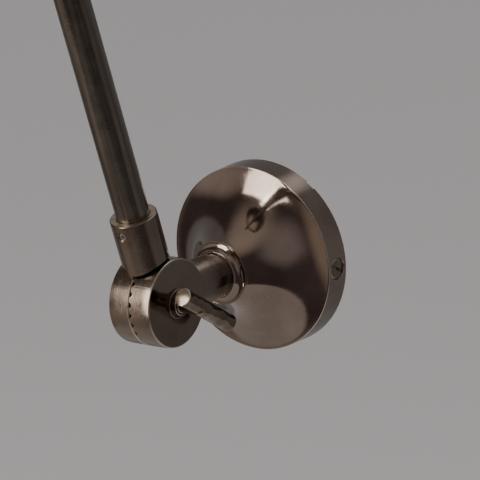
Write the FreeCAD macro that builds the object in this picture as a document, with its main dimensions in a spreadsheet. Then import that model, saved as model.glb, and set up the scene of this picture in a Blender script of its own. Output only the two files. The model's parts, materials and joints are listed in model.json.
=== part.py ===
"""Extendable shaving mirror for a bathroom wall, in aged brass.

A flared rose on the wall carries a toothed clamp knuckle.  A telescopic arm rises from it and leans out of the
wall, and a second knuckle of the same pattern carries a round mirror.

Frame: the wall is the plane y = 0 and the room is towards -Y.  +Z is up, +X is to the right of someone who
faces the wall.  The origin is the middle of the rose's back.  Lengths are millimetres, angles degrees.
"""
import FreeCAD, Part
import math
import os
import Sketcher

from FreeCAD import Placement, Rotation, Vector

# ---------------------------------------------------------------- driving dimensions
DRIVING = {
    # rose: the flared cover on the wall
    "rose_base_radius": 37.5,
    "rose_edge_radius": 37.15,
    "rose_edge_height": 11.0,
    "rose_crown_radius": 12.3,
    "rose_crown_height": 31.7,
    "rose_flare_radius": 40.0,
    "rose_wall": 1.6,
    "rose_crown_inside": 11.3,
    "notch_radius": 2.2,
    "notch_depth": 0.9,
    # plate under the rose, and the screws that hold the rose on it
    "plate_radius": 34.3,
    "plate_floor": 3.0,
    "plate_ring": 3.6,
    "plate_height": 9.6,
    "plate_boss_radius": 8.5,
    "wall_hole_radius": 2.6,
    "wall_hole_place": 20.0,
    "rim_screw_height": 5.7,
    "rim_screw_shank": 2.0,
    "rim_screw_head": 4.0,
    "rim_screw_sink": 0.6,
    "rim_screw_hole": 4.35,
    "slot_width": 1.1,
    "slot_depth": 1.0,
    # stud and lock nut behind each neck
    "stud_radius": 4.0,
    "nut_corner": 7.6,
    "nut_thick": 4.0,
    # flared collar
    "collar_radius": 12.7,
    "collar_edge": 0.35,
    "collar_length": 3.0,
    "collar_cove": 3.4,
    # toothed knuckle
    "knuckle_reach": 70.5,
    "knuckle_radius": 17.1,
    "knuckle_half": 9.55,
    "tooth_gap": 0.05,
    "tooth_depth": 1.5,
    "tooth_width": 2.5,
    "tooth_inner": 8.4,
    "spring_seat_radius": 7.2,
    "spring_seat_depth": 2.4,
    "spring_radius": 5.2,
    "spring_wire": 0.6,
    "spring_pitch": 1.75,
    "edge_break": 0.4,
    "stem_radius": 9.0,
    "stem_clearance": 1.1,
    "neck_length": 35.8,
    "stud_hole_floor": 20.0,
    "socket_length": 36.8,
    "socket_floor": 21.0,
    "grub_place": 32.3,
    "grub_radius": 1.4,
    "grub_sink": 0.7,
    "grub_key": 0.8,
    # clamp screw and its cross bar
    "screw_radius": 3.0,
    "screw_shoulder": 4.4,
    "screw_shoulder_end": 12.2,
    "screw_neck": 3.1,
    "screw_spigot": 1.9,
    "screw_reach": 7.4,
    "washer_thick": 0.8,
    "washer_radius": 5.6,
    "bar_radius": 3.4,
    "bar_place": 20.4,
    "bar_short": 11.9,
    "bar_long": 19.6,
    "bar_edge": 0.6,
    "bar_crown_rise": 0.3,
    "bar_hole_floor": 0.8,
    "pin_radius": 1.8,
    "pin_depth": 1.0,
    "pin_dome": 0.9,
    "pin_shift": 1.7,
    # telescopic arm, measured along it from the wall knuckle's axis
    "tube_radius": 6.35,
    "tube_wall": 1.2,
    "tube_end": 262.0,
    "rod_radius": 4.5,
    "rod_wall": 1.0,
    "rod_foot": 84.0,
    "rod_plug": 10.0,
    "piston_length": 16.0,
    "piston_screw_radius": 1.5,
    "piston_screw_head": 3.2,
    "piston_screw_head_thick": 2.2,
    "bush_length": 18.0,
    "bush_lip": 1.0,
    "lock_skirt": 12.0,
    "lock_nose": 8.0,
    "lock_radius": 9.0,
    "flute_radius": 1.1,
    "flute_bite": 0.35,
    "mirror_knuckle_place": 312.0,
    # mirror head, measured forward from the mirror knuckle's axis
    "mirror_radius": 98.0,
    "back_crown": 38.8,
    "back_depth": 9.5,
    "back_dome_radius": 420.0,
    "back_corner": 1.5,
    "back_wall": 1.2,
    "flange_radius": 26.0,
    "flange_thick": 2.5,
    "flange_lift": 0.6,
    "pad_place": 11.0,
    "pad_thick": 1.5,
    "glass_thick": 4.0,
    "glass_bevel": 0.8,
    "bezel_proud": 2.0,
    "bezel_depth": 7.0,
    "bezel_front": 1.4,
    "bezel_lip": 3.6,
}
ARM_LEAN = 15.3
TEETH = 27
RIM_SCREWS = 3
WALL_HOLES = 3
RIM_TURN = -2.0
NOTCH_TURN = 54.0
SLOT_TURN = -28.0
LOCK_FLUTES = 30
WALL_BAR_TURN = 56.0
MIRROR_BAR_TURN = 20.0
PIN_TURN = -53.0
RUNNING_FIT = 0.05

doc = FreeCAD.newDocument("shaving_mirror")
sheet = doc.addObject("Spreadsheet::Sheet", "dims")


class Dim:
    """A size that knows both its formula in the sheet's words and its present value."""

    def __init__(self, text, value):
        self.text = text
        self.value = value

    def combine(self, other, sign, value):
        return Dim(f"({self.text} {sign} {as_dim(other).text})", value)

    def __add__(self, other):
        return self.combine(other, "+", self.value + as_dim(other).value)

    def __sub__(self, other):
        return self.combine(other, "-", self.value - as_dim(other).value)

    def __mul__(self, other):
        return self.combine(other, "*", self.value * as_dim(other).value)

    def __truediv__(self, other):
        return self.combine(other, "/", self.value / as_dim(other).value)

    def __neg__(self):
        return self * -1.0


def as_dim(size):
    """A plain number becomes a Dim, and a Dim stays one."""
    return size if isinstance(size, Dim) else Dim(f"({float(size)})", float(size))


def fill_sheet():
    """Write the driving dimensions into the sheet, and give them back as a name -> Dim table."""
    for row, (name, size) in enumerate(DRIVING.items(), start=1):
        sheet.set(f"A{row}", name)
        sheet.set(f"B{row}", str(size))
        sheet.setAlias(f"B{row}", name)
    doc.recompute()
    return {name: Dim(f"dims.{name}", size) for name, size in DRIVING.items()}


S = fill_sheet()
PIECES = []


# ---------------------------------------------------------------- helpers
def new_body(label, frame):
    body = doc.addObject("PartDesign::Body", label)
    body.Label = label
    body.Placement = frame
    PIECES.append(body)
    return body


def origin_part(body, role):
    return next(item for item in body.Origin.OriginFeatures if item.Role == role)


# the way each plane's normal points along its own axis
NORMAL_SIGN = {"XY_Plane": 1, "YZ_Plane": 1, "XZ_Plane": -1}


def new_sketch(body, plane, lift=0.0, turned=None):
    """A sketch on one of the body's own planes, lifted along its normal, or turned and then lifted."""
    sketch = body.newObject("Sketcher::SketchObject", f"{body.Name}_sketch")
    sketch.AttachmentSupport = [(origin_part(body, plane), "")]
    sketch.MapMode = "FlatFace"
    lift = as_dim(lift)
    if turned is None:
        sketch.setExpression("AttachmentOffset.Base.z", lift.text)
    else:
        sketch.AttachmentOffset = Placement(turned.multVec(Vector(0, 0, lift.value)), turned)
    return sketch


def pin_point(sketch, side, vertex, across, up):
    """Hold one end of a side at its distances from the sketch's origin."""
    for kind, size in (("DistanceX", across), ("DistanceY", up)):
        index = sketch.addConstraint(Sketcher.Constraint(kind, -1, 1, side, vertex, as_dim(size).value))
        sketch.setExpression(f"Constraints[{index}]", as_dim(size).text)


def arc_between(start, end, radius):
    """The shorter arc from start to end: a positive radius turns left, a negative one turns right."""
    chord = end - start
    height = math.sqrt(radius ** 2 - (chord.Length / 2) ** 2)
    left = Vector(-chord.y, chord.x, 0).normalize()
    centre = (start + end) / 2 + left * (height if radius > 0 else -height)
    first, last = (start, end) if radius > 0 else (end, start)
    angles = [math.atan2(point.y - centre.y, point.x - centre.x) for point in (first, last)]
    if angles[1] < angles[0]:
        angles[1] += 2 * math.pi
    return Part.ArcOfCircle(Part.Circle(centre, Vector(0, 0, 1), abs(radius)), *angles)


def draw_outline(sketch, corners):
    """Close the corners into an outline.

    A corner is (across, up), or (across, up, radius) where the side that arrives there is an arc.
    """
    ends = []
    for index, corner in enumerate(corners):
        before = corners[index - 1]
        start = Vector(as_dim(before[0]).value, as_dim(before[1]).value, 0)
        end = Vector(as_dim(corner[0]).value, as_dim(corner[1]).value, 0)
        if len(corner) == 2:
            side = sketch.addGeometry(Part.LineSegment(start, end))
            ends.append((side, 1, 2))
        else:
            radius = as_dim(corner[2])
            side = sketch.addGeometry(arc_between(start, end, radius.value))
            limit = sketch.addConstraint(Sketcher.Constraint("Radius", side, abs(radius.value)))
            sketch.setExpression(f"Constraints[{limit}]", f"abs({radius.text})")
            ends.append((side, 1, 2) if radius.value > 0 else (side, 2, 1))
    for index, corner in enumerate(corners):
        side, _, last = ends[index]
        following, first, _ = ends[(index + 1) % len(ends)]
        sketch.addConstraint(Sketcher.Constraint("Coincident", side, last, following, first))
        pin_point(sketch, side, last, corner[0], corner[1])


def draw_circle(sketch, across, up, radius):
    middle = Vector(as_dim(across).value, as_dim(up).value, 0)
    side = sketch.addGeometry(Part.Circle(middle, Vector(0, 0, 1), as_dim(radius).value))
    pin_point(sketch, side, 3, across, up)
    index = sketch.addConstraint(Sketcher.Constraint("Radius", side, as_dim(radius).value))
    sketch.setExpression(f"Constraints[{index}]", as_dim(radius).text)


def solid_volume(body):
    return 0.0 if body.Shape.isNull() else body.Shape.Volume


def finish_feature(body, feature, cut, before):
    """Recompute, and stop if the feature failed or changed nothing."""
    body.Tip = feature
    doc.recompute()
    change = solid_volume(body) - before
    if (cut and change >= 0) or (not cut and change <= 0):
        raise RuntimeError(f"{body.Label}: {feature.Name} changed the volume by {change:.3f}")
    return feature


def turn_profile(body, corners, axis="V_Axis", cut=False):
    """Revolve an outline drawn on the XZ plane: about local Z (V_Axis) or local X (H_Axis)."""
    before = solid_volume(body)
    sketch = new_sketch(body, "XZ_Plane")
    draw_outline(sketch, corners)
    kind = "Groove" if cut else "Revolution"
    feature = body.newObject(f"PartDesign::{kind}", f"{body.Name}_{kind.lower()}")
    feature.Profile = sketch
    feature.ReferenceAxis = (sketch, [axis])
    feature.Angle = 360
    return finish_feature(body, feature, cut, before)


def extrude(body, plane, draw, near, far, cut=False, turned=None):
    """Pad or pocket what draw() puts on the sketch, from near to far along the plane's own axis."""
    before = solid_volume(body)
    sign = NORMAL_SIGN[plane]
    near, far = as_dim(near), as_dim(far)
    sketch = new_sketch(body, plane, near * sign, turned)
    draw(sketch)
    kind = "Pocket" if cut else "Pad"
    feature = body.newObject(f"PartDesign::{kind}", f"{body.Name}_{kind.lower()}")
    feature.Profile = sketch
    forward = far.value > near.value
    feature.setExpression("Length", (far - near if forward else near - far).text)
    along_normal = forward == (sign > 0)
    feature.Reversed = along_normal if cut else not along_normal
    return finish_feature(body, feature, cut, before)


def repeat_round(body, features, axis, count, cut):
    """Repeat some features evenly round one of the body's own axes."""
    before = solid_volume(body)
    pattern = body.newObject("PartDesign::PolarPattern", f"{body.Name}_pattern")
    pattern.Originals = features
    pattern.Axis = (origin_part(body, axis), [""])
    pattern.Angle = 360
    pattern.Occurrences = count
    return finish_feature(body, pattern, cut, before)


def crown_radius(half_width, rise):
    """The radius of a shallow crown that rises this much over this half width, level at its middle."""
    return (half_width * half_width + rise * rise) / (rise * 2)


def box(low_across, low_up, high_across, high_up):
    """The corners of an upright rectangle."""
    return [(low_across, low_up), (high_across, low_up), (high_across, high_up), (low_across, high_up)]


def draw_hexagon(sketch, across, up, corner):
    """A regular hexagon, by its centre and its centre-to-corner distance."""
    turns = [math.radians(60 * step) for step in range(6)]
    draw_outline(sketch, [(as_dim(across) + corner * math.cos(turn), as_dim(up) + corner * math.sin(turn))
                          for turn in turns])


def draw_bar(sketch, across, up, half_length, half_width, turn):
    """A rectangle round a centre, turned anticlockwise."""
    cos, sin = math.cos(math.radians(turn)), math.sin(math.radians(turn))
    signs = (-1, -1), (1, -1), (1, 1), (-1, 1)
    corners = [(half_length * along, half_width * aside) for along, aside in signs]
    draw_outline(sketch, [(as_dim(across) + x * cos - y * sin, as_dim(up) + x * sin + y * cos)
                          for x, y in corners])


# ---------------------------------------------------------------- frames
def about_x(angle, origin):
    return Placement(origin, Rotation(Vector(1, 0, 0), angle))


def shifted(frame, x=0.0, y=0.0, z=0.0, turn=0.0):
    """A frame moved along its own axes, then turned about its own Z."""
    return frame * Placement(Vector(x, y, z), Rotation(Vector(0, 0, 1), turn))


ARM_WAY = Vector(0, -math.sin(math.radians(ARM_LEAN)), math.cos(math.radians(ARM_LEAN)))
WALL_KNUCKLE = Vector(0, -S["knuckle_reach"].value, 0)
MIRROR_KNUCKLE = WALL_KNUCKLE + ARM_WAY * S["mirror_knuckle_place"].value
ROSE_FRAME = shifted(about_x(90, Vector()), turn=RIM_TURN)     # +Z into the room, +X to a rim screw
WALL_NECK_FRAME = about_x(-90, WALL_KNUCKLE)                   # +Z from the knuckle to the wall
ARM_FRAME = about_x(ARM_LEAN, WALL_KNUCKLE)                    # +Z up the arm from the wall knuckle
ROD_END_FRAME = about_x(ARM_LEAN + 180, MIRROR_KNUCKLE)        # +Z back down the arm from the mirror knuckle
HEAD_FRAME = about_x(90, MIRROR_KNUCKLE)                       # +Z from the mirror knuckle to the mirror


# ---------------------------------------------------------------- wall end
def wall_plate():
    """A cast plate: a floor on the wall, a ring that takes the rim screws and a boss for the stud."""
    body = new_body("wall_plate", ROSE_FRAME)
    ring = S["plate_radius"] - S["plate_ring"]
    turn_profile(body, [(S["stud_radius"], 0), (S["plate_radius"], 0), (S["plate_radius"], S["plate_height"]),
                        (ring, S["plate_height"]), (ring, S["plate_floor"]),
                        (S["plate_boss_radius"], S["plate_floor"]),
                        (S["plate_boss_radius"], S["plate_height"]),
                        (S["stud_radius"], S["plate_height"])])
    wall_hole = extrude(body, "XY_Plane",
                        lambda sketch: draw_circle(sketch, 0, S["wall_hole_place"], S["wall_hole_radius"]),
                        -1.0, S["plate_floor"] + 1.0, cut=True)
    repeat_round(body, [wall_hole], "Z_Axis", WALL_HOLES, cut=True)
    screw_hole = extrude(body, "YZ_Plane",
                         lambda sketch: draw_circle(sketch, 0, S["rim_screw_height"], S["rim_screw_shank"]),
                         ring - 1.0, S["plate_radius"] + 1.0, cut=True)
    repeat_round(body, [screw_hole], "Z_Axis", RIM_SCREWS, cut=True)


def wall_rose():
    """The flared cover: a rim with a crisp front edge, and a hollow flare that steepens up to the collar."""
    body = new_body("wall_rose", ROSE_FRAME)
    wall, edge = S["rose_wall"], S["edge_break"]
    inner = S["rose_edge_radius"] - wall
    bore = S["stud_radius"] + 0.4
    turn_profile(body, [(S["rose_base_radius"] - wall, 0), (S["rose_base_radius"], 0),
                        (S["rose_edge_radius"], S["rose_edge_height"] - edge),
                        (S["rose_edge_radius"] - edge, S["rose_edge_height"]),
                        (S["rose_crown_radius"], S["rose_crown_height"], -S["rose_flare_radius"]),
                        (bore, S["rose_crown_height"]), (bore, S["rose_crown_height"] - wall),
                        (S["rose_crown_inside"], S["rose_crown_height"] - wall),
                        (inner - edge, S["rose_edge_height"] - wall, S["rose_flare_radius"] + wall),
                        (inner, S["rose_edge_height"] - wall * 1.5)])
    hole = extrude(body, "YZ_Plane",
                   lambda sketch: draw_circle(sketch, 0, S["rim_screw_height"], S["rim_screw_hole"]),
                   S["plate_radius"], S["rose_base_radius"] + 1.0, cut=True)
    repeat_round(body, [hole], "Z_Axis", RIM_SCREWS, cut=True)
    turn = math.radians(NOTCH_TURN)
    across, up = (S["rose_base_radius"] * part for part in (math.cos(turn), math.sin(turn)))
    extrude(body, "XY_Plane", lambda sketch: draw_circle(sketch, across, up, S["notch_radius"]),
            -1.0, S["notch_depth"], cut=True)


def rose_rim_screws():
    """Slotted screws through the rim: each head fills its hole in the rose and seats on the plate's ring."""
    body = new_body("rose_rim_screws", ROSE_FRAME)
    body.AllowCompound = True
    place, edge = S["rim_screw_height"], S["edge_break"]
    seat, face = S["plate_radius"], S["rose_base_radius"] - S["rim_screw_sink"]
    head = extrude(body, "YZ_Plane", lambda sketch: draw_circle(sketch, 0, place, S["rim_screw_head"]),
                   seat, face - edge)
    crown = extrude(body, "YZ_Plane",
                    lambda sketch: draw_circle(sketch, 0, place, S["rim_screw_head"] - edge), face - edge, face)
    shank = extrude(body, "YZ_Plane", lambda sketch: draw_circle(sketch, 0, place, S["rim_screw_shank"]),
                    seat, seat - S["plate_ring"])
    slot = extrude(body, "YZ_Plane",
                   lambda sketch: draw_bar(sketch, 0, place, S["rim_screw_head"] + 1.0, S["slot_width"] / 2,
                                           SLOT_TURN),
                   face - S["slot_depth"], face + 1.0, cut=True)
    repeat_round(body, [head, crown, shank, slot], "Z_Axis", RIM_SCREWS, cut=False)


# ---------------------------------------------------------------- what stands behind each neck
def stud(label, frame, start, end):
    """A plain rod for the threaded stud that joins a neck to what carries it."""
    edge = S["edge_break"]
    radius = S["stud_radius"]
    turn_profile(new_body(label, frame), [(0, start), (radius - edge, start), (radius, start + edge),
                                          (radius, end - edge), (radius - edge, end), (0, end)])


def lock_nut(label, frame, start):
    body = new_body(label, frame)
    end = start + S["nut_thick"]
    extrude(body, "XY_Plane", lambda sketch: draw_hexagon(sketch, 0, 0, S["nut_corner"]), start, end)
    extrude(body, "XY_Plane", lambda sketch: draw_circle(sketch, 0, 0, S["stud_radius"]),
            start - 1.0, end + 1.0, cut=True)


def flared_collar(label, frame):
    """The trumpet ring at a neck's foot: a cove that opens from the neck to a thin crisp edge."""
    start = S["neck_length"]
    end = start + S["collar_length"]
    bore = S["stud_radius"] + 0.2
    turn_profile(new_body(label, frame), [(bore, start), (S["stem_radius"] + 0.1, start),
                                          (S["collar_radius"], end - S["collar_edge"], -S["collar_cove"]),
                                          (S["collar_radius"], end), (bore, end)])


# ---------------------------------------------------------------- toothed knuckle
def knuckle_disc(label, frame, side, stem_length, tooth_turn, notch_end):
    """Half a knuckle: a toothed disc on one side of the mid-plane, with a round stem along local +Z.

    side is +1 or -1, the way the disc lies from the mid-plane along X.  The stem is centred on the mid-plane,
    so it stands clear of the other half's disc all round.  notch_end is the radius where its notches stop.
    """
    body = new_body(label, frame)
    edge, radius, stem = S["edge_break"], S["knuckle_radius"], S["stem_radius"]
    face, back = S["tooth_gap"] * side, S["knuckle_half"] * side
    swept = radius + S["stem_clearance"]
    turn_profile(body, [(face, 0), (face, radius - edge), (face + edge * side, radius),
                        (back - edge * side, radius), (back, radius - edge), (back, 0)], axis="H_Axis")
    turn_profile(body, [(0, 0), (stem, 0), (stem, stem_length - edge), (stem - edge, stem_length),
                        (0, stem_length)])
    turn_profile(body, box((stem + 1.0) * -side, 0, face, swept), axis="H_Axis", cut=True)
    width = S["tooth_width"] / 2
    notch = extrude(body, "XZ_Plane",
                    lambda sketch: draw_outline(sketch, [(0, -width), (face + S["tooth_depth"] * side, 0),
                                                         (0, width)]),
                    S["tooth_inner"], notch_end, cut=True, turned=Rotation(Vector(1, 0, 0), tooth_turn))
    repeat_round(body, [notch], "X_Axis", TEETH, cut=True)
    seat = face + S["spring_seat_depth"] * side
    turn_profile(body, box(0, 0, seat, S["spring_seat_radius"]), axis="H_Axis", cut=True)
    return body


def neck_half(label, frame, tooth_turn):
    """The half whose stem is a plain neck, with notches out to its rim; the clamp screw passes through it."""
    body = knuckle_disc(label, frame, 1, S["neck_length"], tooth_turn, S["knuckle_radius"] + 1.0)
    turn_profile(body, box(0, 0, S["knuckle_half"] + 1.0, S["screw_radius"] + 0.1), axis="H_Axis", cut=True)
    turn_profile(body, box(0, S["stud_hole_floor"], S["stud_radius"], S["neck_length"] + 1.0), cut=True)


def socket_half(label, frame, bore, tooth_turn):
    """The half whose stem is a socket, with a whole rim: it takes the clamp screw's thread and the arm."""
    lip = S["edge_break"] + 0.1
    body = knuckle_disc(label, frame, -1, S["socket_length"], tooth_turn, S["knuckle_radius"] - lip)
    turn_profile(body, box(-(S["screw_reach"] + 0.4), 0, 0, S["screw_radius"] + RUNNING_FIT), axis="H_Axis",
                 cut=True)
    turn_profile(body, box(0, S["socket_floor"], bore, S["socket_length"] + 1.0), cut=True)
    place, radius = S["grub_place"], S["grub_radius"]
    outside = S["stem_radius"]
    extrude(body, "XZ_Plane", lambda sketch: draw_circle(sketch, 0, place, radius), -(bore - 1.0),
            -(outside + 1.0), cut=True)
    extrude(body, "XZ_Plane", lambda sketch: draw_circle(sketch, 0, place, radius + 0.4), -(outside - 0.35),
            -(outside + 1.0), cut=True)


def grub_screw(label, frame, bore):
    """A headless screw with a hexagon key hole, sunk in the socket's wall."""
    body = new_body(label, frame)
    place = S["grub_place"]
    face = S["stem_radius"] - S["grub_sink"]
    extrude(body, "XZ_Plane", lambda sketch: draw_circle(sketch, 0, place, S["grub_radius"]), -bore, -face)
    extrude(body, "XZ_Plane", lambda sketch: draw_hexagon(sketch, 0, place, S["grub_key"]), -(face - 1.0),
            -(face + 1.0), cut=True)


def clamp_spring(label, knuckle):
    """A short coil in the two spring seats, which parts the teeth when the clamp is slackened."""
    body = new_body(label, knuckle * Placement(Vector(), Rotation(Vector(0, 1, 0), 90)))
    wire = S["spring_wire"]
    reach = S["spring_seat_depth"] - wire - 0.1
    sketch = new_sketch(body, "XZ_Plane")
    draw_circle(sketch, S["spring_radius"], -reach, wire)
    coil = body.newObject("PartDesign::AdditiveHelix", f"{label}_coil")
    coil.Profile = sketch
    coil.ReferenceAxis = (sketch, ["V_Axis"])
    coil.Mode = "pitch-height-angle"
    coil.setExpression("Pitch", S["spring_pitch"].text)
    coil.setExpression("Height", (reach * 2).text)
    finish_feature(body, coil, False, 0.0)


def clamp_washer(label, knuckle):
    back = S["knuckle_half"]
    turn_profile(new_body(label, knuckle), box(back, S["screw_radius"] + 0.15, back + S["washer_thick"],
                                               S["washer_radius"]), axis="H_Axis")


def clamp_screw(label, knuckle):
    """The screw on the knuckle's axis: threaded shank, shoulder, and a spigot that the cross bar sits on."""
    body = new_body(label, knuckle)
    edge = S["edge_break"]
    seat = S["knuckle_half"] + S["washer_thick"]
    shoulder, shoulder_end = S["screw_shoulder"], S["screw_shoulder_end"]
    reach, shank, neck, top = -S["screw_reach"], S["screw_radius"], S["screw_neck"], S["bar_place"]
    turn_profile(body, [(reach, 0), (reach, shank), (seat, shank), (seat, shoulder), (shoulder_end - edge, shoulder),
                        (shoulder_end, shoulder - edge), (shoulder_end, neck), (top, neck), (top, 0)],
                 axis="H_Axis")
    extrude(body, "XY_Plane", lambda sketch: draw_circle(sketch, S["bar_place"], 0, S["bar_radius"]),
            -S["bar_long"], S["bar_short"], cut=True)
    turn_profile(body, box(S["bar_place"] - S["bar_radius"] - 1.0, 0, S["bar_place"] + S["bar_hole_floor"],
                           S["screw_spigot"]), axis="H_Axis")


def cross_bar(label, knuckle):
    """The T-bar: a round bar with slightly crowned ends, longer on one side of the screw than the other."""
    body = new_body(label, shifted(knuckle, x=S["bar_place"].value))
    radius, edge, rise = S["bar_radius"], S["bar_edge"], S["bar_crown_rise"]
    low, high = -S["bar_long"], S["bar_short"]
    crown = crown_radius(radius - edge, rise)
    turn_profile(body, [(0, low - rise), (radius - edge, low, crown), (radius, low + edge),
                        (radius, high - edge), (radius - edge, high), (0, high + rise, crown)])
    spigot_hole = box(-(radius + 1.0), 0, S["bar_hole_floor"], S["screw_spigot"])
    turn_profile(body, spigot_hole, axis="H_Axis", cut=True)
    extrude(body, "YZ_Plane", lambda sketch: draw_circle(sketch, 0, S["pin_shift"], S["pin_radius"]),
            radius - S["pin_depth"], radius + 1.0, cut=True, turned=Rotation(Vector(0, 1, 0), PIN_TURN))


def cross_bar_pin(label, knuckle):
    """A small domed pin that fixes the bar on its screw."""
    body = new_body(label, shifted(knuckle, x=S["bar_place"].value, z=S["pin_shift"].value, turn=PIN_TURN))
    skin, pin, dome = S["bar_radius"], S["pin_radius"], S["pin_dome"]
    foot = skin - S["pin_depth"]
    turn_profile(body, [(foot, 0), (skin + dome, 0), (skin, pin, crown_radius(pin, dome)), (foot, pin)],
                 axis="H_Axis")


def clamp(prefix, knuckle_centre, bar_turn):
    """The parts on a knuckle's axis; bar_turn is where the cross bar stands at rest."""
    knuckle = about_x(bar_turn, knuckle_centre)
    clamp_screw(f"{prefix}_clamp_screw", knuckle)
    cross_bar(f"{prefix}_t_bar", knuckle)
    cross_bar_pin(f"{prefix}_t_bar_pin", knuckle)
    clamp_washer(f"{prefix}_clamp_washer", about_x(0, knuckle_centre))
    clamp_spring(f"{prefix}_clamp_spring", about_x(0, knuckle_centre))


# ---------------------------------------------------------------- telescopic arm
def arm_tube():
    edge = S["edge_break"]
    outer = S["tube_radius"]
    inner = outer - S["tube_wall"]
    foot, end = S["socket_floor"], S["tube_end"]
    turn_profile(new_body("arm_tube", ARM_FRAME), [(inner, foot), (outer, foot), (outer, end - edge),
                                                   (outer - edge, end), (inner, end)])


def arm_guide_bush():
    """A lipped plastic bush in the tube's mouth, in which the rod slides and turns."""
    bore, skin = S["rod_radius"] + RUNNING_FIT, S["tube_radius"] - S["tube_wall"]
    end = S["tube_end"]
    foot, lip = end - S["bush_length"], end + S["bush_lip"]
    turn_profile(new_body("arm_guide_bush", ARM_FRAME),
                 [(bore, foot), (skin, foot), (skin, end), (S["tube_radius"], end), (S["tube_radius"], lip),
                  (bore, lip)])


def arm_lock_collar():
    """A fluted cap over the tube's mouth: a twist squeezes the bush on the rod and holds the arm's length."""
    body = new_body("arm_lock_collar", ARM_FRAME)
    edge, outer = S["edge_break"], S["lock_radius"]
    skirt, bore = S["tube_radius"] + RUNNING_FIT, S["rod_radius"] + 0.15
    foot, roof = S["tube_end"] - S["lock_skirt"], S["tube_end"] + S["bush_lip"] + 0.2
    end = S["tube_end"] + S["lock_nose"]
    turn_profile(body, [(skirt, foot), (outer - edge * 2, foot), (outer, foot + edge * 2),
                        (outer, end - edge * 3), (outer - edge * 4, end), (bore, end), (bore, roof),
                        (skirt, roof)])
    place = outer + S["flute_radius"] - S["flute_bite"]
    flute = extrude(body, "XY_Plane", lambda sketch: draw_circle(sketch, place, 0, S["flute_radius"]),
                    foot + edge * 5, end - edge * 7, cut=True)
    repeat_round(body, [flute], "Z_Axis", LOCK_FLUTES, cut=True)


def arm_piston():
    """A plastic piston that keeps the rod's foot true in the tube; the rod turns on its screw."""
    skin = S["tube_radius"] - S["tube_wall"] - RUNNING_FIT
    top = S["rod_foot"]
    turn_profile(new_body("arm_piston", ARM_FRAME), box(S["piston_screw_radius"] + RUNNING_FIT,
                                                        top - S["piston_length"], skin, top))


def arm_piston_screw():
    radius, head = S["piston_screw_radius"], S["piston_screw_head"]
    top = S["rod_foot"] + S["rod_plug"] - 2.0
    seat = S["rod_foot"] - S["piston_length"] - RUNNING_FIT
    foot = seat - S["piston_screw_head_thick"]
    turn_profile(new_body("arm_piston_screw", ARM_FRAME),
                 [(0, foot), (head, foot), (head, seat), (radius, seat), (radius, top), (0, top)])


def arm_rod():
    """The inner tube of the telescope, plugged at its foot, where the piston's screw enters."""
    edge = S["edge_break"]
    outer = S["rod_radius"]
    inner, screw = outer - S["rod_wall"], S["piston_screw_radius"]
    foot = S["rod_foot"] + RUNNING_FIT
    end = S["mirror_knuckle_place"] - S["socket_floor"]
    plug = foot + S["rod_plug"]
    turn_profile(new_body("arm_rod", ARM_FRAME),
                 [(screw, foot), (outer, foot), (outer, end - edge), (outer - edge, end), (inner, end),
                  (inner, plug), (screw, plug)])


# ---------------------------------------------------------------- mirror head
def mirror_back():
    """A spun dish, slightly domed, whose upright rim holds the pad and the glass."""
    crown, wall, outer = S["back_crown"], S["back_wall"], S["mirror_radius"]
    corner, bore = S["back_corner"], S["stud_radius"] + 0.2
    knee = crown + S["back_depth"]
    rim = crown + S["pad_place"] + S["pad_thick"] + S["glass_thick"]
    dome = S["back_dome_radius"]
    turn_profile(new_body("mirror_back", HEAD_FRAME),
                 [(bore, crown), (S["rose_crown_radius"], crown), (outer - corner, knee, dome),
                  (outer, knee + corner, corner * 1.05), (outer, rim), (outer - wall, rim),
                  (outer - wall, knee + corner), (outer - wall - corner * 0.6, knee + wall),
                  (S["rose_crown_radius"], crown + wall, -(dome - wall)), (bore, crown + wall)])


def mirror_flange():
    """A stiffening plate inside the dish, under the lock nut."""
    start = S["back_crown"] + S["back_wall"]
    lift = start + S["flange_lift"]
    end = lift + S["flange_thick"]
    bore, hub = S["stud_radius"], S["rose_crown_radius"] - 0.5
    turn_profile(new_body("mirror_flange", HEAD_FRAME),
                 [(bore, start), (hub, start), (hub, lift), (S["flange_radius"], lift),
                  (S["flange_radius"], end), (bore, end)])
    return end


def mirror_pad():
    start = S["back_crown"] + S["pad_place"]
    end, outer = start + S["pad_thick"], S["mirror_radius"] - S["back_wall"] - 0.4
    turn_profile(new_body("mirror_pad", HEAD_FRAME), [(0, start), (outer, start), (outer, end), (0, end)])


def mirror_glass():
    """Silvered glass with a small bevel round its front edge."""
    start = S["back_crown"] + S["pad_place"] + S["pad_thick"]
    end = start + S["glass_thick"]
    outer, bevel = S["mirror_radius"] - S["back_wall"] - 0.3, S["glass_bevel"]
    turn_profile(new_body("mirror_glass", HEAD_FRAME), [(0, start), (outer, start), (outer, end - bevel / 2),
                                                        (outer - bevel, end), (0, end)])


def mirror_bezel():
    """A turned ring round the dish, whose lip holds the glass in."""
    glass = S["back_crown"] + S["pad_place"] + S["pad_thick"] + S["glass_thick"]
    inner, front = S["mirror_radius"], glass + S["bezel_front"]
    outer, edge = inner + S["bezel_proud"], S["edge_break"]
    foot = glass - S["bezel_depth"]
    turn_profile(new_body("mirror_bezel", HEAD_FRAME),
                 [(inner, foot), (outer - edge, foot), (outer, foot + edge),
                  (outer, front - S["bezel_proud"]),
                  (inner, front, S["bezel_proud"]), (inner - S["bezel_lip"] + edge, front),
                  (inner - S["bezel_lip"], front - edge), (inner - S["bezel_lip"], glass), (inner, glass)])


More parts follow.
